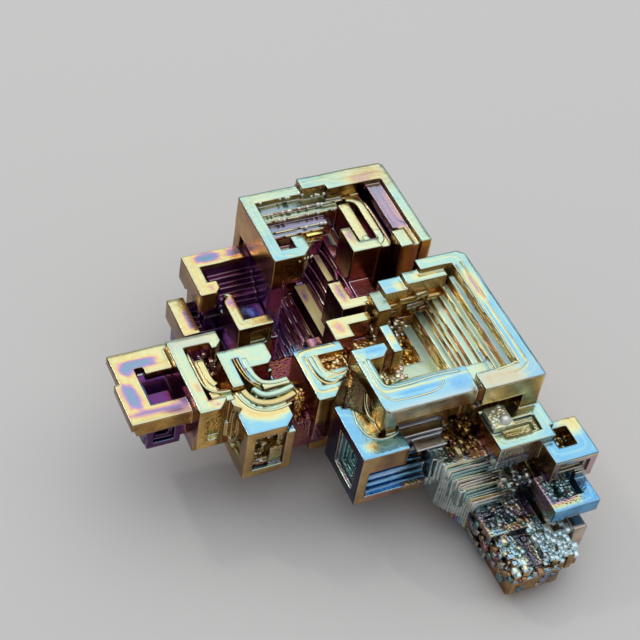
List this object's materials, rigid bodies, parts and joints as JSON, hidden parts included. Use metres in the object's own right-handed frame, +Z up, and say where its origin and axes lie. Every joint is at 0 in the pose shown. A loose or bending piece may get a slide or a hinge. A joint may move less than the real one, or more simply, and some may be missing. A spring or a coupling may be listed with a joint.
{
  "type": "bismuth hopper crystal",
  "caption": "Iridescent bismuth hopper crystal: stepped, hooked square terraces around deep pits, with small cubic crystals down its left and front sides.",
  "frame": {"origin": "middle of the bounding box in plan, on the plane of the feet", "axes": "+Z up from the surface it rests on, +Y from the small front crystals to the rear hopper, +X from the left row to the right hopper"},
  "size_m": [0.048, 0.0512, 0.021],
  "materials": {
    "bismuth_crystal": "polished metal under a thin iridescent oxide film, pale gold, mint, sky blue, violet and magenta"
  },
  "bodies": {
    "root": {"bismuth_crystal": "bismuth_crystal"}
  },
  "joints": []
}
